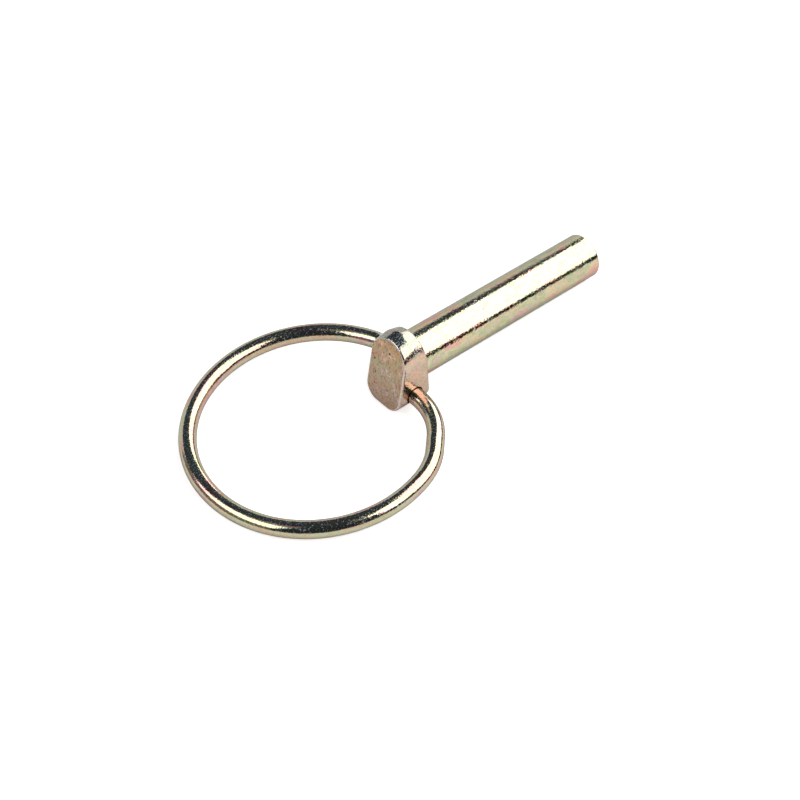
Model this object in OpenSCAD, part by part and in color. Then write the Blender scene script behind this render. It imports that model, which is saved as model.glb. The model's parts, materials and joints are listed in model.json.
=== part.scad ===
// Lynch pin: a straight round pin with a forged flat head, and a wire ring
// that swings in a cross hole through the head.
// It lies as it rests on a table: on the tip of the shank, the lower end of
// the head and the far side of the ring. +X runs towards the tip, +Z is up.
// The origin is below the middle of the lying part, on the table.

/* [Shank] */
// Diameter of the shank
shank_d = 10; // [8:0.5:14]
// Length of the shank from the back of the head, on its centreline
shank_length = 50; // [47:0.5:80]
// Rounding of the edge at the tip
tip_edge = 0.5; // [0.1:0.1:1.5]
// Extra radius with which the shank runs into the middle of the head
neck_swell = 0.1; // [0.04:0.01:0.14]
// Length past the head over which that swelling runs out
neck_length = 0.5; // [0.2:0.1:2]

/* [Head] */
// Width of the head across its two flats
head_width = 10.3; // [9.3:0.1:14]
// Height of the top of the head above the shank's centreline
head_top = 7.4; // [6:0.1:8.4]
// Depth of the bottom of the head below the shank's centreline
head_bottom = 9.1; // [8.6:0.1:11]
// Thickness of the head, measured on the shank's centreline
head_thickness = 6.8; // [5.5:0.1:9]
// Slope of the front and of the back, which makes the head thicker low down
head_slope = 7; // [0:0.5:10]
// Radius of the two lower corners of the head
corner_r = 3.5; // [2.2:0.1:4]
// Rounding of the head's edges
head_edge = 0.45; // [0.2:0.05:0.8]
// Crown of the head's top, halfway between the front and the back
head_crown = 0.5; // [0:0.05:0.8]
// Rounding of the crown
crown_edge = 1.6; // [0.8:0.1:2.4]

/* [Cross hole] */
// Depth of the hole's centre below the shank's centreline
hole_drop = 5.5; // [5:0.1:5.8]
// Play of the wire in the hole, on the diameter
hole_play = 0.5; // [0.4:0.1:1.2]

/* [Ring] */
// Diameter of the wire
wire_d = 3.75; // [3:0.05:4]
// Inside diameter of the ring
ring_inside = 48; // [46:0.1:52]
// Reach of the ring from the hole's centre to the middle of the far wire
ring_reach = 45.6; // [44.5:0.1:46.5]
// Sideways set of the ring's centre from the middle of the head
ring_set = 2.9; // [0:0.1:3.5]
// Straight wire between the head and the first wide bend, at the plain end
plain_stub = 0.6; // [0.3:0.1:1.2]
// Straight wire between the two wide bends at the plain end
plain_straight = 3; // [1:0.1:5]
// Angle between that straight wire and the hole
plain_lean = 46; // [40:1:55]
// Straight wire between the head and the first small bend, negative in the hole
hook_stub = -0.4; // [-0.8:0.1:0.6]
// Radius of the two small bends at the hooked end, on the wire's centreline
hook_r = 3.2; // [3:0.1:4.5]
// Straight wire between the two small bends
hook_straight = 1.6; // [0.5:0.1:4]
// Gap between the two ends of the wire, in the middle of the hole
end_gap = 0.6; // [0.2:0.1:1.5]
// Clearance left between the ring and the shank where the swing stops
swing_clearance = 0.15; // [0.1:0.05:0.5]

/* [Hidden] */

shank_r = shank_d / 2;
wire_r = wire_d / 2;
half_width = head_width / 2;
half_thickness = head_thickness / 2;
hole_d = wire_d + hole_play;
ring_r = (ring_inside + wire_d) / 2;

// The pin's own frame: origin on the shank's centreline in the middle of the
// head, +X to the tip, +Z to the top of the head.
tip_x = half_thickness + shank_length;
// The swelling ends past the lowest place where the head's back meets the shank.
neck_x = half_thickness + shank_r * tan(head_slope) + neck_length;
// The head's slopes spread the outline along Z, so it is drawn longer by this.
slant = 1 / cos(head_slope);
// Centres of the circles that the head's outline wraps, as [y, z, radius]
top_r = half_width;
HEAD_CIRCLES = [
    [0, head_top * slant - top_r, top_r],
    [half_width - corner_r, -head_bottom * slant + corner_r, corner_r],
    [-half_width + corner_r, -head_bottom * slant + corner_r, corner_r]
];

// The ring's own frame: origin in the middle of the hole, which runs along Y,
// with the ring lying towards -X. Its far and side wire is one large arc.
ring_x = -(ring_reach - ring_r);
ring_centre = [ring_x, ring_set];
// Where each end of the wire starts to bend, along the hole
plain_start = half_width + plain_stub;
hook_start = half_width + hook_stub;

// The angle on the XY plane of the way from a to b
function heading(a, b) = atan2(b[1] - a[1], b[0] - a[0]);

// The plain end bends twice the same way, with the same radius: plain_in
// leaves the large arc, and plain_out turns square to the hole. The radius is
// the one with which both the large arc and the hole are met without a kink.
plain_way = [sin(plain_lean), cos(plain_lean)];
plain_x = -plain_straight * plain_way[0] - ring_x;
plain_y = -plain_straight * plain_way[1] - plain_start - ring_set;
plain_r = (ring_r ^ 2 - plain_x ^ 2 - plain_y ^ 2) / (2 * (ring_r - plain_x));
plain_out = [-plain_r, -plain_start];
plain_in = plain_out - plain_straight * plain_way;
plain_angle = heading(ring_centre, plain_in);

// The hooked end bends twice against each other: hook_in leaves the large arc
// with a tight turn, and hook_out turns back, square to the hole. hook_in's
// centre is known by its distances from those of hook_out and the large arc.
hook_out = [hook_r, hook_start];
hook_span = norm([2 * hook_r, hook_straight]);
hook_far = norm(hook_out - ring_centre);
hook_along = ((ring_r - hook_r) ^ 2 - hook_span ^ 2 + hook_far ^ 2) / (2 * hook_far);
hook_aside = sqrt((ring_r - hook_r) ^ 2 - hook_along ^ 2);
hook_unit = (hook_out - ring_centre) / hook_far;
hook_in = ring_centre + hook_along * hook_unit + hook_aside * [-hook_unit[1], hook_unit[0]];
hook_angle = heading(ring_centre, hook_in);
hook_turn = heading(hook_in, hook_out) + atan(hook_straight / (2 * hook_r));

// Rest: the shank dips until its tip and the rounded lower back edge of the
// head touch one plane.
heel_back = head_bottom * slant - head_edge;
heel = [
    half_thickness + heel_back * sin(head_slope) - head_edge * cos(head_slope),
    -heel_back * cos(head_slope) - head_edge * sin(head_slope)
];
sole = [tip_x - tip_edge, -shank_r + tip_edge];
rest_run = sole[0] - heel[0];
rest_rise = sole[1] - heel[1];
pin_dip = atan(rest_rise / rest_run) + asin((head_edge - tip_edge) / norm([rest_run, rest_rise]));
axis_height = sole[0] * sin(pin_dip) - sole[1] * cos(pin_dip) + tip_edge;
hinge_height = axis_height - hole_drop * cos(pin_dip);
hinge_back = -hole_drop * sin(pin_dip);
// The ring dips the other way until its far side touches the same plane.
ring_dip = asin((hinge_height - wire_r) / ring_reach);

// Ends of the lying part along X, seen from the hinge
far_end = -ring_reach * cos(ring_dip) - wire_r;
tip_end = (tip_x - tip_edge) * cos(pin_dip) + (shank_r - tip_edge) * sin(pin_dip)
    + tip_edge - hinge_back;
hinge = [-(far_end + tip_end) / 2, -ring_set, hinge_height];

// Swing of the ring from rest, over the head and under it, until its far
// wire meets the shank.
stop_height = shank_r + wire_r + swing_clearance;
stop_reach = sqrt(ring_r ^ 2 - ring_set ^ 2) - ring_x;
swing_over = 180 + ring_dip + pin_dip - asin((stop_height + hole_drop) / stop_reach);
swing_under = 180 - ring_dip - pin_dip - asin((stop_height - hole_drop) / stop_reach);
echo(hinge = hinge, pin_dip = pin_dip, ring_dip = ring_dip);
echo(swing_over = swing_over, swing_under = swing_under);

// How much thinner bent wire is on its radius, and how far it laps
bend_thinning = 0.01;
bend_lap = 0.1;

$fn = 96;
EDGE_FN = 20;
WIRE_FN = 48;

// A disc of radius r on the YZ plane with a rounded rim of radius edge
module rounded_disc(r, edge) {
    rotate([0, 90, 0])
        rotate_extrude($fn = 72)
            translate([r - edge, 0])
                circle(r = edge, $fn = EDGE_FN);
}

// One sloping face of the head, side -1 for the front and 1 for the back
module head_face(side) {
    translate([side * half_thickness, 0, 0])
        rotate([0, -side * head_slope, 0])
            for (c = HEAD_CIRCLES)
                translate([-side * head_edge, c[0], c[1]])
                    rounded_disc(c[2], head_edge);
}

// The rounded top of the head between its two faces
module crown() {
    translate([0, 0, head_top - top_r + head_crown])
        rounded_disc(top_r, crown_edge);
}

module head() {
    hull() {
        head_face(-1);
        head_face(1);
        crown();
    }
}

module shank() {
    rotate([0, 90, 0]) {
        cylinder(h = neck_x, r1 = shank_r + neck_swell, r2 = shank_r);
        translate([0, 0, neck_x])
            cylinder(h = tip_x - tip_edge - neck_x, r = shank_r);
        cylinder(h = tip_x, r = shank_r - tip_edge);
        translate([0, 0, tip_x - tip_edge])
            rotate_extrude()
                translate([shank_r - tip_edge, 0])
                    circle(r = tip_edge, $fn = 32);
    }
}

module cross_hole() {
    translate([0, 0, -hole_drop])
        rotate([90, 0, 0])
            cylinder(h = 2 * head_width, d = hole_d, center = true);
}

module pin() {
    color([0.79, 0.73, 0.60])
        translate([hinge[0] - hinge_back, hinge[1], axis_height])
            rotate([0, pin_dip, 0])
                difference() {
                    union() {
                        head();
                        shank();
                    }
                    cross_hole();
                }
}

// A bend on the XY plane about centre, of radius r, from angle a to angle b.
// Bent wire is a little thinner than the straight and large wire, and laps
// into it at both ends.
module bend(centre, r, a, b) {
    lap = bend_lap / r * 180 / PI;
    translate([centre[0], centre[1], 0])
        rotate([0, 0, a - lap])
            rotate_extrude(angle = b - a + 2 * lap)
                translate([r, 0])
                    circle(r = wire_r - bend_thinning, $fn = WIRE_FN);
}

// The large arc, from the hooked end round to the plain end
module large_arc() {
    translate([ring_x, ring_set, 0])
        rotate([0, 0, hook_angle])
            rotate_extrude(angle = 360 + plain_angle - hook_angle)
                translate([ring_r, 0])
                    circle(r = wire_r, $fn = WIRE_FN);
}

// The straight wire at one end, side -1 or 1, from the gap in the middle of
// the hole to the start of the first bend
module wire_end(side, start) {
    translate([0, side * end_gap / 2, 0])
        rotate([-side * 90, 0, 0])
            cylinder(h = start - end_gap / 2, r = wire_r, $fn = WIRE_FN);
}

// The straight wire between two bends, on from the bend about centre, where it
// has turned to angle a. way is 1 where the angle grows on the way, else -1.
module straight_wire(centre, r, a, way, length) {
    translate([centre[0] + r * cos(a), centre[1] + r * sin(a), 0])
        rotate([-way * 90, 0, a])
            cylinder(h = length, r = wire_r, $fn = WIRE_FN);
}

module ring() {
    color([0.76, 0.69, 0.54])
        translate(hinge)
            rotate([0, -ring_dip, 0]) {
                wire_end(-1, plain_start);
                bend(plain_out, plain_r, -plain_lean, 0);
                straight_wire(plain_in, plain_r, -plain_lean, 1, plain_straight);
                bend(plain_in, plain_r, plain_angle, -plain_lean);
                large_arc();
                bend(hook_in, hook_r, hook_turn, hook_angle);
                straight_wire(hook_in, hook_r, hook_turn, -1, hook_straight);
                bend(hook_out, hook_r, 180 + hook_turn, 180);
                wire_end(1, hook_start);
            }
}

pin();
ring();
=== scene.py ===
# %% [markdown]
# # A lynch pin in yellow-zinc plated steel
#
# A lynch pin holds a wheel or a drawbar: a round shank goes through a hole, and
# a wire ring in the head gives the hand something to pull. This lesson dresses
# the pin and its ring for a picture. The exact model is loaded first and fixes
# every size, so nothing here is fitted by eye. The two shapes are then worked
# out again as smooth numpy surfaces, because polished metal shows each facet of
# a mesh in its reflections.

# %% Load the frame
import json

import bpy
import numpy as np
from mathutils import Matrix


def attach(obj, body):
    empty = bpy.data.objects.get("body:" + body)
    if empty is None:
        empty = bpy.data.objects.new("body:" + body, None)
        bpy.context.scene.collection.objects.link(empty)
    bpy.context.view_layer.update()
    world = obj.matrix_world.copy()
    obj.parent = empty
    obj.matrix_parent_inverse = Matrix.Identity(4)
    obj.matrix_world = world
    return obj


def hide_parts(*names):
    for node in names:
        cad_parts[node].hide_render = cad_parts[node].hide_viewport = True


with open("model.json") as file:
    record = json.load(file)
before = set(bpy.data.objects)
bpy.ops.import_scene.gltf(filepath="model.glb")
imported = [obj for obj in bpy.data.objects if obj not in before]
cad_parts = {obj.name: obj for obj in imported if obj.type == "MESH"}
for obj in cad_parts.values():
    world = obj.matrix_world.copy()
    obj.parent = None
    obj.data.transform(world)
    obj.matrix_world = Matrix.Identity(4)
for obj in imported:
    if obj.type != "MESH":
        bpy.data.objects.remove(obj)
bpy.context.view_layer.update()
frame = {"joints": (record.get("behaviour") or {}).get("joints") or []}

# %% [markdown]
# ## Sizes
#
# All lengths are in millimetres here, as a maker would write them on a drawing,
# and become metres at the last moment. The hinge is the middle of the cross
# hole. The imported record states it, so it is read from there. The pin dips
# towards its tip, and the ring dips the other way, because both lie on a table.

# %% Sizes of the pin and the ring
MM = 0.001
SHANK_R, SHANK_LENGTH, TIP_EDGE = 5.0, 50.0, 0.5
NECK_SWELL, NECK_LENGTH = 0.1, 0.5
HALF_WIDTH, HALF_THICKNESS = 5.15, 3.4
HEAD_TOP, HEAD_BOTTOM, HEAD_SLOPE = 7.4, 9.1, np.radians(7)
CORNER_R, HEAD_EDGE = 3.5, 0.45
HEAD_CROWN, CROWN_EDGE = 0.5, 1.6
HOLE_DROP, HOLE_R = 5.5, 2.125
WIRE_R, WIRE_EDGE = 1.875, 0.2
RING_R, RING_REACH, RING_SET = 25.875, 45.6, 2.9
PLAIN_STUB, PLAIN_STRAIGHT, PLAIN_LEAN = 0.6, 3.0, np.radians(46)
HOOK_STUB, HOOK_R, HOOK_STRAIGHT, END_GAP = -0.4, 3.2, 1.6, 0.6

swing = [joint for joint in frame["joints"] if joint["name"] == "ring_swing"][0]
hinge = np.array(swing["pos_m"]) / MM
pin_dip = np.radians(4.86179)
ring_dip = np.arcsin((hinge[2] - WIRE_R) / RING_REACH)
print("hinge", hinge, "ring dips", round(float(np.degrees(ring_dip)), 3), "degrees")


# %% [markdown]
# ## From local sizes to the table
#
# Each part is drawn in a frame of its own, where it stands straight: the pin
# along X with the top of its head up, the ring flat with the cross hole along
# Y. One turn about Y and one shift then lay it on the table. The turn is done on
# the points themselves, so the finished objects sit unturned at the origin.

# %% Helpers that lay points on the table and make a mesh
def turn_about_y(points, angle):
    """Points (x, y, z) turned about Y: x' = x cos + z sin, z' = z cos - x sin."""
    cos, sin = np.cos(angle), np.sin(angle)
    turn = np.array([[cos, 0, sin], [0, 1, 0], [-sin, 0, cos]])
    return points @ turn.T


def lay_pin(points):
    """The pin's own frame to the table: a dip, and the hole's middle to the hinge."""
    hole = np.array([0, 0, -HOLE_DROP])
    return turn_about_y(points - hole, pin_dip) + hinge


def lay_ring(points):
    """The ring's own frame to the table: a dip the other way about the hinge."""
    return turn_about_y(points, -ring_dip) + hinge


def grid_faces(rows, columns):
    """Quads of a grid whose columns close on themselves, as corner numbers."""
    row = np.arange(rows - 1)[:, None] * columns
    here = np.arange(columns)[None, :]
    there = (here + 1) % columns
    quads = [row + here, row + there, row + columns + there, row + columns + here]
    return np.stack(quads, axis=-1).reshape(-1, 4)


def skin(name, grid, start, end):
    """A closed skin over a grid of points (rows, columns, 3), with one point at
    each end as a pole: quads between the rows, and a fan of triangles at each end."""
    rows, columns = grid.shape[:2]
    points = np.concatenate([grid.reshape(-1, 3), [start, end]])
    here = np.arange(columns)
    there = (here + 1) % columns
    last = (rows - 1) * columns
    start_pole = np.full(columns, rows * columns)
    start_fan = np.stack([there, here, start_pole], axis=-1)
    end_pole = np.full(columns, rows * columns + 1)
    end_fan = np.stack([last + here, last + there, end_pole], axis=-1)
    faces = grid_faces(rows, columns).tolist() + start_fan.tolist() + end_fan.tolist()
    mesh = bpy.data.meshes.new(name)
    mesh.from_pydata((points * MM).tolist(), [], faces)
    mesh.shade_smooth()
    piece = bpy.data.objects.new(name, mesh)
    bpy.context.scene.collection.objects.link(piece)
    print(name, "has", len(points), "points and", len(faces), "faces")
    return piece


# %% [markdown]
# ## The wire ring
#
# The ring is one length of round wire. It could be drawn as a curve with a
# bevel, but a bent wire is really a list of straights and bends, which is how a
# bending machine makes it. So the path is walked from one end to the other: go
# straight, turn right on a radius, and so on. The plain end takes two wide bends,
# the hooked end a tight S.

# %% Where the two ends leave the large arc
ring_x = -(RING_REACH - RING_R)
plain_y = HALF_WIDTH + PLAIN_STUB
hook_y = HALF_WIDTH + HOOK_STUB
lean_way = np.array([np.sin(PLAIN_LEAN), np.cos(PLAIN_LEAN)])
from_centre = -PLAIN_STRAIGHT * lean_way - np.array([ring_x, plain_y + RING_SET])
plain_r = (RING_R**2 - from_centre @ from_centre) / (2 * (RING_R - from_centre[0]))
plain_in = np.array([-plain_r, -plain_y]) - PLAIN_STRAIGHT * lean_way
plain_angle = np.arctan2(plain_in[1] - RING_SET, plain_in[0] - ring_x)

hook_way = np.array([HOOK_R - ring_x, hook_y - RING_SET])
hook_far = np.hypot(*hook_way)
hook_span = np.hypot(2 * HOOK_R, HOOK_STRAIGHT)
along = ((RING_R - HOOK_R) ** 2 - hook_span**2 + hook_far**2) / (2 * hook_far)
aside = np.sqrt((RING_R - HOOK_R) ** 2 - along**2)
unit = hook_way / hook_far
hook_in = np.array([ring_x, RING_SET]) + along * unit + aside * np.array([-unit[1], unit[0]])
hook_angle = np.arctan2(hook_in[1] - RING_SET, hook_in[0] - ring_x)
hook_turn = np.arctan2(hook_y - hook_in[1], HOOK_R - hook_in[0])
hook_turn = hook_turn + np.arctan(HOOK_STRAIGHT / (2 * HOOK_R))
print("wide bends of radius", round(float(plain_r), 2), "mm")


# %% Walk along the wire
def arc(way, to, radius):
    """The step on a circle while the way turns from way to to:
    radius * (sin to - sin way, cos way - cos to)."""
    return radius * np.stack([np.sin(to) - np.sin(way), np.cos(way) - np.cos(to)], axis=-1)


def walk(moves, start, way, step):
    """Points and ways along straights and bends. A move is (length, turn): with no
    turn the wire goes on straight, and otherwise way(s) = way + turn s / length,
    and the point moves on the circle of radius length / turn."""
    here, points, ways = np.array(start, float), [], []
    for length, turn in moves:
        steps = max(2, int(np.ceil(length / step)))
        s = np.arange(steps) / steps
        if turn == 0:
            way_s = np.full(steps, way)
            ahead = np.array([np.cos(way), np.sin(way)])
            leg = s[:, None] * length * ahead
            end = length * ahead
        else:
            radius = length / turn
            way_s = way + turn * s
            leg = arc(way, way_s, radius)
            end = arc(way, way + turn, radius)
        points.append(here + leg)
        ways.append(way_s)
        here, way = here + end, way + turn
    return np.concatenate(points + [here[None]]), np.concatenate(ways + [[way]])


plain_rest = -plain_angle - PLAIN_LEAN
sweep = 2 * np.pi + plain_angle - hook_angle
MOVES = [
    (plain_y - END_GAP / 2, 0),
    (plain_r * PLAIN_LEAN, -PLAIN_LEAN),
    (PLAIN_STRAIGHT, 0),
    (plain_r * plain_rest, -plain_rest),
    (RING_R * sweep, -sweep),
    (HOOK_R * (hook_angle - hook_turn), -(hook_angle - hook_turn)),
    (HOOK_STRAIGHT, 0),
    (HOOK_R * -hook_turn, -hook_turn),
    (hook_y - END_GAP / 2, 0),
]
path, ways = walk(MOVES, start=(0, -END_GAP / 2), way=-np.pi / 2, step=0.3)
wire_length = sum(length for length, turn in MOVES)
print("the wire is", round(wire_length, 1), "mm long and ends at", np.round(path[-1], 3))


# %% Carry a circle along the wire
EASE_STEPS = 6


def tube(name, path, ways, radius, edge, around):
    """Round wire: path(s) + radius (cos a * side(s) + sin a * up), where side is
    square to the way of the path. Both cut ends are eased with a small radius.
    Each point keeps its grain: (cos a, sin a, its share of the way along)."""
    side = np.stack([-np.sin(ways), np.cos(ways), 0 * ways], axis=-1)
    ahead = np.stack([np.cos(ways), np.sin(ways), 0 * ways], axis=-1)
    middle = np.concatenate([path, 0 * path[:, :1]], axis=-1)
    ease = np.linspace(0, np.pi / 2, EASE_STEPS)
    shrink = edge * (1 - np.sin(ease))
    back = edge * (1 - np.cos(ease))
    first = middle[0] + back[:, None] * ahead[0]
    last = middle[-1] - back[::-1, None] * ahead[-1]
    centres = np.concatenate([first, middle[2:-2], last])
    first_sides = np.repeat(side[:1], EASE_STEPS, 0)
    last_sides = np.repeat(side[-1:], EASE_STEPS, 0)
    sides = np.concatenate([first_sides, side[2:-2], last_sides])
    radii = np.full(len(centres), radius)
    radii[:EASE_STEPS] = radius - shrink
    radii[-EASE_STEPS:] = radius - shrink[::-1]
    a = np.linspace(0, 2 * np.pi, around, endpoint=False)
    circle = np.cos(a)[None, :, None] * sides[:, None, :]
    circle = circle + np.sin(a)[None, :, None] * np.array([0, 0, 1.0])
    grid = centres[:, None, :] + radii[:, None, None] * circle
    piece = skin(name, lay_ring(grid), lay_ring(middle[0]), lay_ring(middle[-1]))
    s = np.linspace(0, 1, len(centres))
    parts = np.broadcast_arrays(np.cos(a)[None, :], np.sin(a)[None, :], s[:, None])
    grain = np.stack(parts, axis=-1).reshape(-1, 3)
    ends = np.array([[0, 0, 0], [0, 0, 1.0]])
    layer = piece.data.attributes.new("grain", "FLOAT_VECTOR", "POINT")
    layer.data.foreach_set("vector", np.concatenate([grain, ends]).ravel())
    return piece


ring = tube("wire_ring", path, ways, WIRE_R, WIRE_EDGE, around=56)


# %% [markdown]
# ## The head
#
# The head is forged: two faces that slope towards each other at the top, an
# outline of one wide arc above two smaller corners, straight sides between
# them, and every edge rounded. It could be a block with bevels, but the crowned
# top would not come out. Here the outline is a circle that rolls from corner to
# corner, and each section through the rim is the tight wrap of three balls: one
# on the front edge, one on the crown and one on the back edge.

# %% Roll a circle round the outline of the head
def outline(circles, arc_step, side_steps):
    """Centre, radius and angle of a circle that wraps the given ones [y, z, r],
    named anticlockwise. On a corner only the angle grows, and on a straight side
    the centre and radius go evenly from one circle to the next."""
    circles = np.array(circles, float)
    to_next = np.roll(circles, -1, axis=0) - circles
    span = np.hypot(to_next[:, 0], to_next[:, 1])
    side_way = np.arctan2(to_next[:, 1], to_next[:, 0]) - np.pi / 2
    leave = side_way - np.arcsin(to_next[:, 2] / span)
    stations = []
    for i in range(len(circles)):
        begin = leave[i - 1]
        turn = (leave[i] - begin) % (2 * np.pi)
        count = max(2, int(np.ceil(turn * circles[i, 2] / arc_step)))
        angle = begin + turn * np.arange(count) / count
        stations.append(np.column_stack([np.repeat(circles[i : i + 1], count, 0), angle]))
        t = np.arange(side_steps)[:, None] / side_steps
        straight = circles[i] + t * to_next[i]
        stations.append(np.column_stack([straight, np.full(side_steps, leave[i])]))
    return np.concatenate(stations)


slant = 1 / np.cos(HEAD_SLOPE)
low = -HEAD_BOTTOM * slant + CORNER_R
HEAD_CIRCLES = [
    [0, HEAD_TOP * slant - HALF_WIDTH, HALF_WIDTH],
    [-HALF_WIDTH + CORNER_R, low, CORNER_R],
    [HALF_WIDTH - CORNER_R, low, CORNER_R],
]
stations = outline(HEAD_CIRCLES, arc_step=0.18, side_steps=18)
rim_y = stations[:, 0] + stations[:, 2] * np.cos(stations[:, 3])
width = round(float(np.ptp(rim_y)), 2)
print("the outline has", len(stations), "stations and is", width, "mm wide")


# %% Spread points evenly along a section
SAME_POINT, TINY = 1e-6, 1e-9


def even_out(curve, count, turn_weight):
    """Each row of points (station, along, 3) spread again over count points, evenly
    by its length plus turn_weight times how far it turns, so that rounded edges
    get more points than flats."""
    leg = np.diff(curve, axis=1)
    length = np.linalg.norm(leg, axis=2)
    way = leg / np.maximum(length, TINY)[..., None]
    bend = np.arccos(np.clip((way[:, 1:] * way[:, :-1]).sum(2), -1, 1))
    apart = (length[:, 1:] > SAME_POINT) & (length[:, :-1] > SAME_POINT)
    bend = np.where(apart, bend, 0)
    weight = length + turn_weight * np.pad(bend, ((0, 0), (0, 1))) / 2
    weight = weight + turn_weight * np.pad(bend, ((0, 0), (1, 0))) / 2
    total = np.pad(np.cumsum(weight + TINY, axis=1), ((0, 0), (1, 0)))
    wanted = np.linspace(0, 1, count)[None, :] * total[:, -1:]
    at = (total[:, :, None] <= wanted[:, None, :]).sum(1) - 1
    at = np.clip(at, 0, curve.shape[1] - 2)
    low_end = np.take_along_axis(total, at, 1)
    high_end = np.take_along_axis(total, at + 1, 1)
    share = ((wanted - low_end) / (high_end - low_end))[..., None]
    first = np.take_along_axis(curve, at[..., None], 1)
    second = np.take_along_axis(curve, at[..., None] + 1, 1)
    return first + share * (second - first)


right_angle = np.array([[[0, 0, 0], [1.0, 0, 0], [1, 1, 0]]])
print("a right angle on 5 points:", np.round(even_out(right_angle, 5, 1.1)[0, :, :2], 2).tolist())


# %% Wrap each section of the rim
SWING_STEPS = 121
TIE_BREAK = 0.001
FACE_MIDDLE_Z = -1.2


def wrapped_rim(stations):
    """The skin of the head, station by station. u swings from the front face's
    way, through straight out from the rim, to the back face's way. The point is
    on the ball that reaches furthest along u: centre + radius * u. Where the crown's
    ball reaches as far as an edge's, it gives way by TIE_BREAK millimetres."""
    y, z, r, angle = stations.T
    out = np.stack([0 * angle, np.cos(angle), np.sin(angle)], axis=-1)
    centres, balls = [], []
    for side in (-1, 1):
        rim = np.stack([0 * y, y, z], axis=-1) + (r - HEAD_EDGE)[:, None] * out
        rim = turn_about_y(rim - [side * HEAD_EDGE, 0, 0], -side * HEAD_SLOPE)
        centres.append(rim + [side * HALF_THICKNESS, 0, 0])
        balls.append(HEAD_EDGE)
    crown_z = HEAD_TOP - HALF_WIDTH + HEAD_CROWN
    centres.append([0, 0, crown_z] + (HALF_WIDTH - CROWN_EDGE) * out)
    balls.append(CROWN_EDGE)
    centres, balls = np.stack(centres), np.array(balls)
    swing = np.radians(np.linspace(-90, 90, SWING_STEPS))
    front = np.array([-np.cos(HEAD_SLOPE), 0, np.sin(HEAD_SLOPE)])
    faces = np.where(swing[:, None] < 0, front, front * [-1, 1, 1])
    u = np.abs(np.sin(swing))[:, None] * faces + np.cos(swing)[:, None] * out[:, None, :]
    u = u / np.linalg.norm(u, axis=-1, keepdims=True)
    reach = np.einsum("bsk,stk->bst", centres, u) + balls[:, None, None]
    reach[2] -= TIE_BREAK
    best = reach.argmax(0)
    station = np.arange(len(stations))[:, None]
    return centres[best, station] + balls[best][..., None] * u


rim = wrapped_rim(stations)
middles = []
for side in (-1, 1):
    face_middle = turn_about_y(np.array([0.0, 0, FACE_MIDDLE_Z]), -side * HEAD_SLOPE)
    middles.append(face_middle + [side * HALF_THICKNESS, 0, 0])
inner = [np.repeat(middle[None, None], len(stations), 0) for middle in middles]
columns = np.concatenate([inner[0], rim, inner[1]], axis=1)
columns = even_out(columns, count=96, turn_weight=1.1)[:, 1:-1]
rows = lay_pin(columns.transpose(1, 0, 2))
head = skin("head", rows, lay_pin(middles[0]), lay_pin(middles[1]))


# %% [markdown]
# ## The shank and the cross hole
#
# The shank is turned round its own axis, so its skin is a profile spun about X:
# a slight swelling under the head, a true cylinder, and an eased edge at the
# tip. The cross hole is drilled through the head. Cutting it is the one step
# where a boolean is the natural tool, because a drill is exactly that.

# %% Spin profiles about an axis
TIP_STEPS, SHANK_ROWS = 10, 48
EASE_GAP, TIP_FACE_R = 0.01, 2.0
DRILL_REACH = 8


def spun(name, along, radius, around, lay):
    """A skin round an axis: (along, radius cos a, radius sin a), closed at both
    ends by a point on the axis."""
    a = np.linspace(0, 2 * np.pi, around, endpoint=False)
    y = radius[:, None] * np.cos(a)
    z = radius[:, None] * np.sin(a)
    grid = np.stack([np.broadcast_to(along[:, None], y.shape), y, z], axis=-1)
    return skin(name, lay(grid), lay(grid[0].mean(0)), lay(grid[-1].mean(0)))


tip_x = HALF_THICKNESS + SHANK_LENGTH
neck_x = HALF_THICKNESS + SHANK_R * np.tan(HEAD_SLOPE) + NECK_LENGTH
ease = np.linspace(0, np.pi / 2, TIP_STEPS)
cylinder = np.linspace(neck_x + 1, tip_x - TIP_EDGE - EASE_GAP, SHANK_ROWS)
along = np.concatenate([[0, neck_x], cylinder])
radius = np.full(len(along), SHANK_R)
radius[0] += NECK_SWELL
along = np.concatenate([along, tip_x - TIP_EDGE + TIP_EDGE * np.sin(ease), [tip_x]])
radius = np.concatenate([radius, SHANK_R - TIP_EDGE + TIP_EDGE * np.cos(ease), [TIP_FACE_R]])
shank = spun("shank", along, radius, around=160, lay=lay_pin)


def lay_drill(points):
    """The drill's axis turned from X to Y and put at the depth of the hole."""
    across = points[..., [1, 0, 2]] * [-1, 1, 1]
    return lay_pin(across - [0, 0, HOLE_DROP])


drill_along = np.linspace(-DRILL_REACH, DRILL_REACH, 5)
drill_radius = np.full(len(drill_along), HOLE_R)
drill = spun("drill", drill_along, drill_radius, around=96, lay=lay_drill)

# %% [markdown]
# ## The plating
#
# Yellow zinc is bright steel under a thin chromate film. Where the film is a
# little thicker or thinner, its colour slides from straw to rose, olive and a
# cold grey, as oil does on water. It could be a thin-film effect in the shader,
# but that slides with the eye. A colour ramp over noise keeps each tint on its
# own place, and streaks run along drawn wire and along the shank.
#
# First come the small tools that every finish below is put together from.

# %% Colours and node materials
def linear(red, green, blue):
    """A colour from its 0 to 255 screen numbers to the linear light of a shader, by
    the screen standard's curve: ((v + 0.055) / 1.055) to the power 2.4 for v = n / 255,
    and v / 12.92 where v is at most 0.04045."""
    value = np.array([red, green, blue]) / 255
    return (*np.where(value <= 0.04045, value / 12.92, ((value + 0.055) / 1.055) ** 2.4), 1)


def grey(level):
    """A grey of a linear level, as the colour of a ramp's stop."""
    return (level, level, level, 1)


def start_material(name):
    """A new node material: its nodes, its links and its main shader."""
    material = bpy.data.materials.new(name)
    material.use_nodes = True
    nodes, links = material.node_tree.nodes, material.node_tree.links
    return material, nodes, links, nodes["Principled BSDF"]


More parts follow.
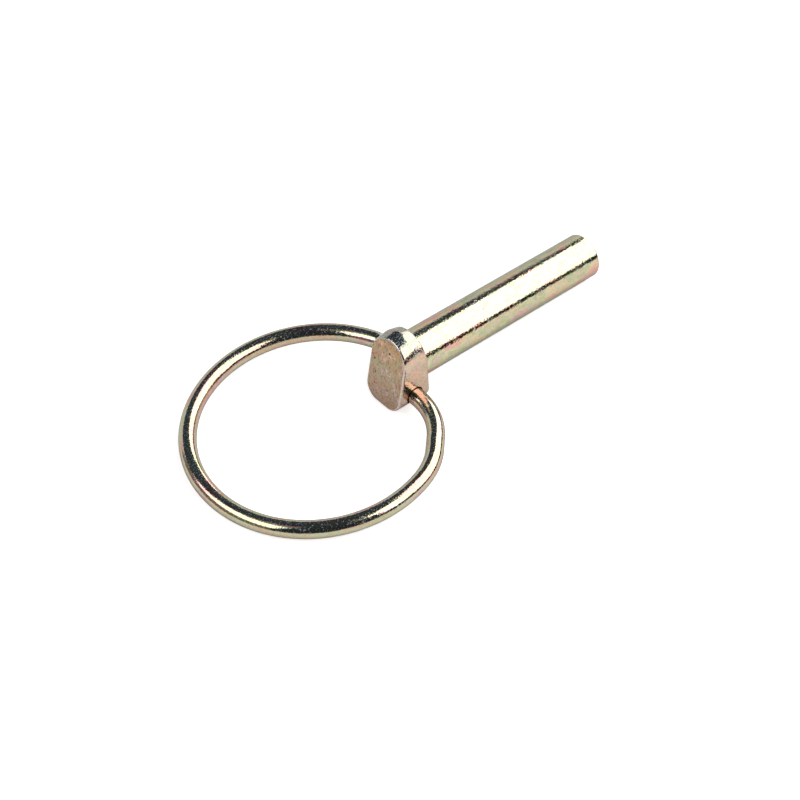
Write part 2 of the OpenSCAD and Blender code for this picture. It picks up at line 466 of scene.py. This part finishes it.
def add(nodes, kind, **values):
    """A node with its plain settings as keywords."""
    node = nodes.new(kind)
    for name, value in values.items():
        setattr(node, name, value)
    return node


print("a middle grey of 128 is", round(float(linear(128, 128, 128)[0]), 3), "in linear light")


# %% Noise and ramps
def noise(nodes, links, vector, scale, detail, rough):
    """Noise on a vector: about 1 / scale metres from lump to lump."""
    node = add(nodes, "ShaderNodeTexNoise")
    node.inputs["Scale"].default_value = scale
    node.inputs["Detail"].default_value = detail
    node.inputs["Roughness"].default_value = rough
    links.new(vector, node.inputs["Vector"])
    return node.outputs["Fac"]


def ramp(nodes, links, value, stops):
    """A colour ramp over a value, from stops of (place, colour)."""
    node = add(nodes, "ShaderNodeValToRGB")
    elements = node.color_ramp.elements
    while len(elements) < len(stops):
        elements.new(0.5)
    for element, (place, colour) in zip(elements, stops):
        element.position = place
        element.color = colour
    links.new(value, node.inputs["Fac"])
    return node.outputs["Color"]


def ranged(nodes, links, value, low, high, at_low=0, at_high=1):
    """A straight line from at_low (where the value is low) to at_high (where it is
    high), and level beyond both ends."""
    node = add(nodes, "ShaderNodeMapRange")
    node.inputs["From Min"].default_value = low
    node.inputs["From Max"].default_value = high
    node.inputs["To Min"].default_value = at_low
    node.inputs["To Max"].default_value = at_high
    links.new(value, node.inputs["Value"])
    return node.outputs["Result"]


def stretched(nodes, links, vector, scale, turn=(0, 0, 0)):
    """A vector turned, then stretched, so that noise on it makes streaks."""
    turned = add(nodes, "ShaderNodeMapping")
    turned.inputs["Rotation"].default_value = turn
    links.new(vector, turned.inputs["Vector"])
    node = add(nodes, "ShaderNodeMapping")
    node.inputs["Scale"].default_value = scale
    links.new(turned.outputs["Vector"], node.inputs["Vector"])
    return node.outputs["Vector"]


print("noise of scale 620 has lumps of about", round(1 / 620 / MM, 1), "mm")


# %% Mixes and bumps
def mixed(nodes, links, factor, first, second, blend="MIX"):
    """Two colours mixed by a factor, which is a number or a socket."""
    node = add(nodes, "ShaderNodeMix", data_type="RGBA", blend_type=blend)
    if isinstance(factor, float):
        node.inputs["Factor"].default_value = factor
    else:
        links.new(factor, node.inputs["Factor"])
    links.new(first, node.inputs["A"])
    if isinstance(second, tuple):
        node.inputs["B"].default_value = second
    else:
        links.new(second, node.inputs["B"])
    return node.outputs["Result"]


def bumped(nodes, links, height, distance, below=None, invert=False):
    """A bump of the given depth in metres, on top of another one if there is one.
    Inverted, it sinks where height is one."""
    node = add(nodes, "ShaderNodeBump", invert=invert)
    node.inputs["Distance"].default_value = distance
    links.new(height, node.inputs["Height"])
    if below is not None:
        links.new(below, node.inputs["Normal"])
    return node.outputs["Normal"]


print("node materials so far:", len(bpy.data.materials))


# %% [markdown]
# ## The skin of plated metal
#
# Four things make the metal look plated and not merely shiny. The edges of
# reflections are ragged, because the skin has fine ripples: a bump does that,
# too small to show as a shape. Scattered grains, where the film is thin, are
# dull and grey, and glitter faintly inside a dark reflection. Fine specks
# darken the tint. And the film itself is clear, so its own face mirrors a few
# hundredths of the light without any tint, which is why a strong lamp looks
# nearly white on golden metal. The coat of the shader is that face.

# %% Ripples, grains, specks and the clear film
WAVE_SCALE, RIPPLE_SCALE, GRAIN_SCALE = 620, 2500, 2600
GRAIN_EDGE = 0.16
SPECK_LOW, SPECK_HIGH = 0.36, 0.52
EDGE_TINT = (0.14, 0.15, 0.15, 1)
GRAIN_GREY = linear(176, 186, 198)
FILM_ROUGHNESS = 0.05


def uneven(nodes, links, place, broad, fine):
    """The small unevenness of a plated surface, by depths in metres: broad waves
    of 1.6 mm, and fine ripples of 0.4 mm that make the edges of reflections ragged."""
    waves = noise(nodes, links, place, WAVE_SCALE, detail=1, rough=0.5)
    ripples = noise(nodes, links, place, RIPPLE_SCALE, detail=1, rough=0.5)
    return bumped(nodes, links, ripples, fine, bumped(nodes, links, waves, broad))


def with_grains(nodes, links, place, film, smooth, dull, start):
    """A film with scattered grains of thin plating, and the roughness that goes with
    it: smooth between the grains and dull on them. Noise above start makes a grain,
    which is full at start + GRAIN_EDGE."""
    value = noise(nodes, links, place, GRAIN_SCALE, detail=3, rough=0.7)
    amount = ramp(nodes, links, value, [(start, grey(0)), (start + GRAIN_EDGE, grey(1))])
    film = mixed(nodes, links, amount, film, GRAIN_GREY)
    return film, ramp(nodes, links, amount, [(0, grey(smooth)), (1, grey(dull))])


def specked(nodes, links, place, film, scale, dark):
    """A film multiplied by a grey that dips to dark in small specks."""
    value = noise(nodes, links, place, scale, detail=2, rough=0.6)
    dips = ramp(nodes, links, value, [(SPECK_LOW, grey(dark)), (SPECK_HIGH, grey(1))])
    return mixed(nodes, links, 1.0, film, dips, "MULTIPLY")


def finish_metal(links, shader, film, normal, gloss, film_ior):
    """Bright metal under its clear film. The metal takes the film's tint. The film's
    face mirrors ((film_ior - 1) / (film_ior + 1)) squared of the light, untinted."""
    links.new(film, shader.inputs["Base Color"])
    links.new(normal, shader.inputs["Normal"])
    shader.inputs["Metallic"].default_value = 1
    shader.inputs["Specular Tint"].default_value = EDGE_TINT
    shader.inputs["Coat Weight"].default_value = 1
    shader.inputs["Coat IOR"].default_value = film_ior
    shader.inputs["Coat Roughness"].default_value = FILM_ROUGHNESS
    links.new(normal, shader.inputs["Coat Normal"])
    links.new(gloss, shader.inputs["Roughness"])


print("a film of index 1.5 mirrors", round((0.5 / 2.5) ** 2, 3), "of the light untinted")


# %% [markdown]
# ## Small damage
#
# A pit or a nick could be modelled, but each is only a few tenths of a
# millimetre across. So it is a spot in the material: a distance to a place on
# the surface, turned into one inside and nought outside. On the face it darkens
# the film, and on the shank it presses a dent into the bump.

# %% Pits and nicks
NICKS = [(20.8, -0.15, 5.0, 0.2), (20.8, -2.3, 4.4, 0.13), (20.85, -2.55, 4.3, 0.12)]
PITS = [
    (0.8, 10.35, 0.2),
    (-3.1, 13.8, 0.22),
    (0, 7.5, 0.16),
    (-0.1, 4.8, 0.15),
    (-1.5, 13.1, 0.12),
]
PIT_BLACK = linear(14, 11, 10)
PIT_CORE, PIT_RIM = 0.9, 1.6
NICK_DEPTH = 1.6e-4


def pitted(nodes, links, place, pits):
    """One in each of the pits and nought between them: one up to PIT_CORE radii from
    a pit's middle, nought from PIT_RIM radii on. A pit is (x, y, z, radius) in mm."""
    inside = None
    for x, y, z, radius in pits:
        away = add(nodes, "ShaderNodeVectorMath", operation="DISTANCE")
        away.inputs[1].default_value = (x * MM, y * MM, z * MM)
        links.new(place, away.inputs[0])
        distance = away.outputs["Value"]
        core, rim = PIT_CORE * radius * MM, PIT_RIM * radius * MM
        near = ranged(nodes, links, distance, core, rim, at_low=1, at_high=0)
        if inside is None:
            inside = near
            continue
        either = add(nodes, "ShaderNodeMath", operation="MAXIMUM")
        links.new(inside, either.inputs[0])
        links.new(near, either.inputs[1])
        inside = either.outputs[0]
    return inside


def pits_on_face(outward, reach):
    """The pits with their x: the face is where outward . place = reach (in metres),
    so x = (reach - outward_z z) / outward_x."""
    return [((reach / MM - outward[2] * z) / outward[0], y, z, r) for y, z, r in PITS]


nicks_on_shank = [(*lay_pin(np.array(nick[:3])), nick[3]) for nick in NICKS]
print(len(PITS), "pits and", len(NICKS), "nicks")


# %% [markdown]
# ## The shank's finish
#
# Turned steel has no grain of its own, but the bath leaves patches that are
# longer than they are wide. So the noise is stretched along the shank, once the
# shank's dip has been turned out of it.

# %% Plating of the shank
SHANK_FILM = [
    (0.38, linear(238, 172, 158)),
    (0.44, linear(224, 196, 146)),
    (0.50, linear(216, 206, 166)),
    (0.55, linear(184, 192, 132)),
    (0.60, linear(214, 196, 166)),
    (0.67, linear(232, 166, 160)),
]


def shank_plating():
    """Plating on turned steel: long faint patches, and nicks pressed into it."""
    material, nodes, links, shader = start_material("zinc_on_shank")
    place = add(nodes, "ShaderNodeTexCoord").outputs["Object"]
    streak = stretched(nodes, links, place, scale=(0.4, 1, 1), turn=(0, -pin_dip, 0))
    patches = noise(nodes, links, streak, scale=300, detail=5, rough=0.65)
    film = ramp(nodes, links, patches, SHANK_FILM)
    film = specked(nodes, links, place, film, scale=2300, dark=0.8)
    normal = uneven(nodes, links, place, broad=1.3e-5, fine=3.4e-5)
    dents = pitted(nodes, links, place, nicks_on_shank)
    normal = bumped(nodes, links, dents, NICK_DEPTH, below=normal, invert=True)
    film, gloss = with_grains(nodes, links, place, film, smooth=0.06, dull=0.4, start=0.52)
    finish_metal(links, shader, film, normal, gloss, film_ior=1.35)
    return material


print("the shank's film has", len(SHANK_FILM), "tints")


# %% [markdown]
# ## The head's finishes
#
# The forged head is rougher than the shank, so its tints are broader and its
# grains more. Towards the top the tint turns olive. Its sharp edges rub against
# everything in a tool box, so beside them the zinc is bare, with a ragged
# border. That pale band along each edge is also a painted highlight, standing in
# for the light that the rounded edges catch. The flat face in front is duller
# and mottled, and the one behind, round the shank, is plain.

# %% Tint by height, and worn edges with a painted highlight
# Bare zinc, pale bluish white, which also paints the highlight of the rounded edges.
BARE_ZINC_EDGE_HIGHLIGHT = linear(206, 210, 208)
EDGE_BAND_NOISE, EDGE_BAND_STARTS, EDGE_BAND_ENDS = 1.0 * MM, 0.25 * MM, 0.6 * MM
FOOT_Z, TOP_Z = 3 * MM, 17 * MM


def tinted_by_height(nodes, links, place, film, stops):
    """A film multiplied by the colours of stops, from the foot of the head to its
    top."""
    parts = add(nodes, "ShaderNodeSeparateXYZ")
    links.new(place, parts.inputs[0])
    tint = ramp(nodes, links, ranged(nodes, links, parts.outputs["Z"], FOOT_Z, TOP_Z), stops)
    return mixed(nodes, links, 1.0, film, tint, "MULTIPLY")


def worn_edge_and_highlight(nodes, links, place, film, outward, reach):
    """The film, rubbed through to bare zinc beside the edge of a flat end, a pale band
    that also paints the highlight of the rounded edge: where outward . place, plus
    one millimetre times a noise, passes the end's distance, reach."""
    along = add(nodes, "ShaderNodeVectorMath", operation="DOT_PRODUCT")
    links.new(place, along.inputs[0])
    along.inputs[1].default_value = outward
    ragged = add(nodes, "ShaderNodeMath", operation="MULTIPLY_ADD")
    links.new(noise(nodes, links, place, scale=900, detail=3, rough=0.6), ragged.inputs[0])
    ragged.inputs[1].default_value = EDGE_BAND_NOISE
    links.new(along.outputs["Value"], ragged.inputs[2])
    bare_and_highlight = ranged(nodes, links, ragged.outputs[0], reach + EDGE_BAND_STARTS, reach + EDGE_BAND_ENDS)
    return mixed(nodes, links, bare_and_highlight, film, BARE_ZINC_EDGE_HIGHLIGHT)


# The band of bare zinc is also the painted highlight along the rounded edges.
print("at most", round((EDGE_BAND_NOISE - EDGE_BAND_ENDS) / MM, 2), "mm beside an end is wholly bare")


# %% Plating of the head
HEAD_FILM = [
    (0.36, linear(244, 174, 152)),
    (0.44, linear(234, 190, 144)),
    (0.50, linear(236, 182, 156)),
    (0.57, linear(204, 192, 142)),
    (0.66, linear(240, 174, 166)),
]
HEAD_BY_HEIGHT = [
    (0.0, linear(255, 255, 255)),
    (0.75, linear(255, 255, 255)),
    (0.93, linear(196, 226, 238)),
]


def head_plating(name, ends):
    """Plating on the forged head, worn to pale bare zinc beside the edge of each of
    ends, a band that also paints the highlight of the rounded edges. The ends are
    pairs of a flat end's outward direction and its reach in metres."""
    material, nodes, links, shader = start_material(name)
    place = add(nodes, "ShaderNodeTexCoord").outputs["Object"]
    patches = noise(nodes, links, place, scale=420, detail=4, rough=0.6)
    film = ramp(nodes, links, patches, HEAD_FILM)
    film = specked(nodes, links, place, film, scale=2300, dark=0.8)
    film = tinted_by_height(nodes, links, place, film, HEAD_BY_HEIGHT)
    normal = uneven(nodes, links, place, broad=3e-5, fine=3.4e-5)
    film, gloss = with_grains(nodes, links, place, film, smooth=0.12, dull=0.55, start=0.5)
    # A pale band of bare zinc beside each flat end, which is also a painted edge highlight.
    for outward, reach in ends:
        film = worn_edge_and_highlight(nodes, links, place, film, outward, reach)
    finish_metal(links, shader, film, normal, gloss, film_ior=1.5)
    return material


corners = np.zeros(3 * len(head.data.vertices))
head.data.vertices.foreach_get("co", corners)
ends = []
for side in (-1, 1):
    outward = np.array([side * np.cos(HEAD_SLOPE), 0, np.sin(HEAD_SLOPE)])
    outward = turn_about_y(outward, pin_dip)
    reach = (corners.reshape(-1, 3) @ outward).max()
    ends.append((outward, reach))
    print("a flat end of the head lies", round(reach / MM, 3), "mm along its own normal")


# %% Plating of the front face
FACE_FILM = [
    (0.37, linear(130, 98, 92)),
    (0.42, linear(206, 152, 120)),
    (0.46, linear(186, 158, 118)),
    (0.50, linear(190, 162, 120)),
    (0.54, linear(166, 170, 132)),
    (0.58, linear(208, 158, 140)),
    (0.66, linear(244, 216, 192)),
]
FACE_BY_HEIGHT = [
    (0.0, linear(250, 232, 242)),
    (0.43, linear(248, 248, 246)),
    (0.86, linear(255, 238, 208)),
]


def face_plating(outward, reach):
    """Plating on the pressed face of the head: duller and mottled, golden at the top
    and pinker at the bottom, with a few small pits where scale was pressed in."""
    material, nodes, links, shader = start_material("zinc_on_face")
    place = add(nodes, "ShaderNodeTexCoord").outputs["Object"]
    mottle = noise(nodes, links, place, scale=280, detail=9, rough=0.8)
    film = ramp(nodes, links, mottle, FACE_FILM)
    film = specked(nodes, links, place, film, scale=2000, dark=0.55)
    film = tinted_by_height(nodes, links, place, film, FACE_BY_HEIGHT)
    normal = uneven(nodes, links, place, broad=3e-5, fine=4e-5)
    film, gloss = with_grains(nodes, links, place, film, smooth=0.3, dull=0.6, start=0.57)
    inside = pitted(nodes, links, place, pits_on_face(outward, reach))
    film = mixed(nodes, links, inside, film, PIT_BLACK)
    finish_metal(links, shader, film, normal, gloss, film_ior=1.5)
    return material


print("the face's film has", len(FACE_FILM), "tints")


# %% [markdown]
# ## The ring's finish
#
# Drawn wire carries its streaks along itself, round every bend. Object
# coordinates could not follow the bends, so each point of the wire carries a
# coordinate of its own, "grain": its place round the wire and along it. The film
# of the ring is the most golden of all.

# %% Plating of the ring
RING_FILM = [
    (0.39, linear(212, 146, 128)),
    (0.44, linear(208, 172, 126)),
    (0.50, linear(204, 184, 136)),
    (0.55, linear(184, 186, 124)),
    (0.60, linear(206, 194, 158)),
    (0.66, linear(208, 146, 136)),
]


def ring_plating():
    """Plating on drawn wire: streaks along the wire, from its own grain."""
    material, nodes, links, shader = start_material("zinc_on_ring")
    place = add(nodes, "ShaderNodeTexCoord").outputs["Object"]
    grain = add(nodes, "ShaderNodeAttribute", attribute_name="grain").outputs["Vector"]
    streak = stretched(nodes, links, grain, scale=(1, 1, 10))
    streaks = noise(nodes, links, streak, scale=1.3, detail=3, rough=0.6)
    film = ramp(nodes, links, streaks, RING_FILM)
    film = specked(nodes, links, place, film, scale=2600, dark=0.8)
    normal = uneven(nodes, links, place, broad=1.6e-5, fine=1.8e-5)
    film, gloss = with_grains(nodes, links, place, film, smooth=0.07, dull=0.4, start=0.51)
    finish_metal(links, shader, film, normal, gloss, film_ior=1.8)
    return material


print("the ring's film has", len(RING_FILM), "tints")


# %% [markdown]
# ## Joining the pin
#
# Head and shank are one forging, so they are joined into one skin, and the
# cross hole is cut out of it. Each face keeps its own finish through the cut.
# The flat ends of the head are found by the way they face: the cosine of the
# angle to the end's own normal is above 0.995.

# %% Join the head and the shank, and drill the hole
ON_RIM, ON_SHANK, ON_FACE, BEHIND = 0, 1, 2, 3
ALONG_END = 0.995
SHARP_FROM = np.radians(38)


def carved(name, base, tools):
    """A new piece: base with each (tool, operation) applied in turn."""
    for tool, operation in tools:
        step = base.modifiers.new(operation, "BOOLEAN")
        step.operation = operation
        step.solver = "EXACT"
        step.object = tool
    graph = bpy.context.evaluated_depsgraph_get()
    mesh = bpy.data.meshes.new_from_object(base.evaluated_get(graph))
    mesh.name = name
    piece = bpy.data.objects.new(name, mesh)
    bpy.context.scene.collection.objects.link(piece)
    for used in [base] + [tool for tool, operation in tools]:
        bpy.data.objects.remove(used)
    return piece


finishes = [head_plating("zinc_on_head", ends), shank_plating(), face_plating(*ends[0])]
finishes.append(head_plating("zinc_behind_head", []))
for piece in (head, shank, drill):
    for finish in finishes:
        piece.data.materials.append(finish)
on_shank = np.full(len(shank.data.polygons), ON_SHANK)
shank.data.polygons.foreach_set("material_index", on_shank)
normals = np.zeros(3 * len(head.data.polygons))
head.data.polygons.foreach_get("normal", normals)
toward = normals.reshape(-1, 3) @ np.array([outward for outward, reach in ends]).T
index = np.where(toward[:, 1] > ALONG_END, BEHIND, ON_RIM)
index = np.where(toward[:, 0] > ALONG_END, ON_FACE, index)
head.data.polygons.foreach_set("material_index", index)
pin = carved("lynch_pin", head, [(shank, "UNION"), (drill, "DIFFERENCE")])
pin.data.set_sharp_from_angle(angle=SHARP_FROM)
ring.data.materials.append(ring_plating())
print("the pin has", len(pin.data.polygons), "faces")

# %% Tie the pieces to the frame
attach(pin, "pin")
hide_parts("pin")
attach(ring, "ring")
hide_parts("ring")
print("tied to the frame:", pin.name, "and", ring.name)

# %% [markdown]
# ## The studio
#
# Bright metal has hardly any colour of its own: it shows the room. So the room
# is set up for the mirror first. What the camera sees directly, what reflections
# see and what lights the floor are three different strengths of the same thing:
# the background is white for the camera and dim in reflections, where the lamps
# must stand out. The floor glows a little, and more so further away, so that it
# stays white to its rim while the soft shadow under the pin remains. Lengths in
# the studio are in metres.


# %% Floor and world
def ray_strength(nodes, links, camera, mirrored, other):
    """A strength of camera for camera rays, mirrored for glossy and transmission
    rays, and other for the rest."""
    rays = add(nodes, "ShaderNodeLightPath").outputs
    mirror = add(nodes, "ShaderNodeMath", operation="MAXIMUM")
    links.new(rays["Is Glossy Ray"], mirror.inputs[0])
    links.new(rays["Is Transmission Ray"], mirror.inputs[1])
    low = ranged(nodes, links, mirror.outputs[0], 0, 1, other, mirrored)
    high = add(nodes, "ShaderNodeMapRange")
    high.inputs["To Max"].default_value = camera
    links.new(rays["Is Camera Ray"], high.inputs["Value"])
    links.new(low, high.inputs["To Min"])
    return high.outputs["Result"]


world = bpy.data.worlds.new("studio")
bpy.context.scene.world = world
world.use_nodes = True
background = world.node_tree.nodes["Background"]
background.inputs["Color"].default_value = (1, 1, 1, 1)
nodes, links = world.node_tree.nodes, world.node_tree.links
level = ray_strength(nodes, links, camera=1.0, mirrored=0.3, other=0.1)
links.new(level, background.inputs["Strength"])

FLOOR_R, FLOOR_SIDES = 1.4, 96
GLOW_FROM, GLOW_TO, GLOW_MOST = 0.25, 0.7, 1.6
around = np.linspace(0, 2 * np.pi, FLOOR_SIDES, endpoint=False)
edge = FLOOR_R * np.stack([np.cos(around), np.sin(around), 0 * around], axis=1)
floor_mesh = bpy.data.meshes.new("floor")
floor_mesh.from_pydata(edge.tolist(), [], [list(range(FLOOR_SIDES))])
floor = bpy.data.objects.new("floor", floor_mesh)
bpy.context.scene.collection.objects.link(floor)
paper, nodes, links, shader = start_material("white_paper")
shader.inputs["Base Color"].default_value = grey(0.75)
shader.inputs["Roughness"].default_value = 0.9
shader.inputs["Specular IOR Level"].default_value = 0
level = ray_strength(nodes, links, camera=0.65, mirrored=0.12, other=0.0)
links.new(level, shader.inputs["Emission Strength"])
away = add(nodes, "ShaderNodeVectorMath", operation="LENGTH")
links.new(add(nodes, "ShaderNodeTexCoord").outputs["Object"], away.inputs[0])
glow = ranged(nodes, links, away.outputs["Value"], GLOW_FROM, GLOW_TO, 1, GLOW_MOST)
links.new(glow, shader.inputs["Emission Color"])
floor.data.materials.append(paper)
print("the floor is a disc of", 2 * FLOOR_R, "m")

# %% [markdown]
# ## Lamps and flags
#
# A long soft box on the right draws the wide highlight, and a small one on the
# left a narrow one. Between and below them hang dark flags, which draw the thin
# dark lines that give round shapes their form: a cylinder in an all-white room
# would look flat. The high ones are a little blue, as the sky would be, and two
# are pale: a backdrop that brightens the far side of the shank, and a screen on
# the left. Only reflections see the flags. Directions are compass angles about
# the pin in degrees, from +Y towards +X, and heights above the table.


# %% Soft boxes
def direction(azimuth, elevation):
    """A unit vector from compass angles: azimuth from +Y towards +X, then up."""
    a, e = np.radians(azimuth), np.radians(elevation)
    return np.array([np.sin(a) * np.cos(e), np.cos(a) * np.cos(e), np.sin(e)])


def soft_box(name, azimuth, elevation, distance, width, height, level):
    """A rectangular lamp that faces the pin, distance metres away. As a mirror shows
    it, it is as bright as level: its power is level * pi * width * height."""
    lamp = bpy.data.lights.new(name, "AREA")
    lamp.shape = "RECTANGLE"
    lamp.size, lamp.size_y = width, height
    lamp.energy = level * np.pi * width * height
    box = bpy.data.objects.new(name, lamp)
    back = direction(azimuth, elevation)
    right = np.cross([0, 0, 1.0], back)
    right = right / np.linalg.norm(right)
    axes = np.column_stack([right, np.cross(back, right), back])
    box.matrix_world = Matrix.LocRotScale(back * distance, Matrix(axes.tolist()), None)
    bpy.context.scene.collection.objects.link(box)


soft_box("box_right", 116, 45, distance=0.7, width=2.1, height=0.85, level=2.5)
soft_box("box_left", -72, 45, distance=0.7, width=0.75, height=0.38, level=2.4)
print(len(bpy.data.lights), "soft boxes")


# %% Flags
ACROSS, UPWARD = 24, 12
NEUTRAL = (1, 1, 1, 1)
BLUE_BLACK = (0.6, 0.85, 1.3, 1)
PALE_GREY = (0.96, 0.97, 1, 1)
FLAGS = [
    ("flag_front", (-180, -104), (4, 50), 0.6, 0.04, BLUE_BLACK),
    ("flag_front_top", (-165, -104), (50, 72), 0.6, 0.05, BLUE_BLACK),
    ("flag_top", (-180, 180), (72, 90), 0.6, 0.06, BLUE_BLACK),
    ("flag_back", (-38, 61), (26, 72), 0.6, 0.07, BLUE_BLACK),
    ("flag_backdrop", (-30, 62), (0, 26), 1.5, 0.85, PALE_GREY),
    ("flag_under_box", (62, 152), (0, 15), 0.6, 0.02, NEUTRAL),
    ("flag_corner", (150, 180), (1, 24), 0.6, 0.03, NEUTRAL),
    ("flag_left", (-104, -25), (1, 24), 0.6, 0.22, PALE_GREY),
]


def flag(name, azimuths, elevations, distance, level, colour):
    """A plain card on a sphere round the pin, over a span of azimuth and elevation,
    that glows with level times its colour. Only reflections see it, so it neither
    hides the view nor throws a shadow."""
    a = np.linspace(*azimuths, ACROSS)
    e = np.linspace(*elevations, UPWARD)
    a, e = np.meshgrid(a, e)
    points = distance * np.moveaxis(direction(a, e), 0, -1)
    corner = (np.arange(UPWARD - 1)[:, None] * ACROSS + np.arange(ACROSS - 1)).ravel()
    above = corner + ACROSS
    faces = np.stack([corner, corner + 1, above + 1, above], axis=-1)
    mesh = bpy.data.meshes.new(name)
    mesh.from_pydata(points.reshape(-1, 3).tolist(), [], faces.tolist())
    card = bpy.data.objects.new(name, mesh)
    bpy.context.scene.collection.objects.link(card)
    cloth, _, _, shader = start_material(name)
    shader.inputs["Base Color"].default_value = (0, 0, 0, 1)
    shader.inputs["Specular IOR Level"].default_value = 0
    shader.inputs["Emission Color"].default_value = colour
    shader.inputs["Emission Strength"].default_value = level
    mesh.materials.append(cloth)
    for ray in ("camera", "diffuse", "transmission", "shadow", "volume_scatter"):
        setattr(card, "visible_" + ray, False)


for values in FLAGS:
    flag(*values)
print("flags:", [values[0] for values in FLAGS])

# %% [markdown]
# ## The camera
#
# The camera stands in front of the head, on its right, and looks down at the pin
# and the ring. An 85 mm lens keeps the far end of the ring from looking small.
# Its place and its three axes are written out, so the view is exact.

# %% Camera
lens = bpy.data.cameras.new("camera")
lens.lens = 85
lens.sensor_width = 36
lens.clip_start = 0.01
camera = bpy.data.objects.new("camera", lens)
bpy.context.scene.collection.objects.link(camera)
right = np.array([0.74711, -0.66404, -0.02948])
up = np.array([0.50409, 0.53712, 0.67631])
back = np.array([-0.43326, -0.52014, 0.73603])
spot = np.array([-172.333, -206.152, 285.923]) * MM
axes = Matrix(np.column_stack([right, up, back]).tolist())
camera.matrix_world = Matrix.LocRotScale(spot, axes, None)
bpy.context.scene.camera = camera
bpy.context.scene.view_settings.view_transform = "Standard"
print("the camera stands", round(float(np.linalg.norm(spot)), 3), "m away")
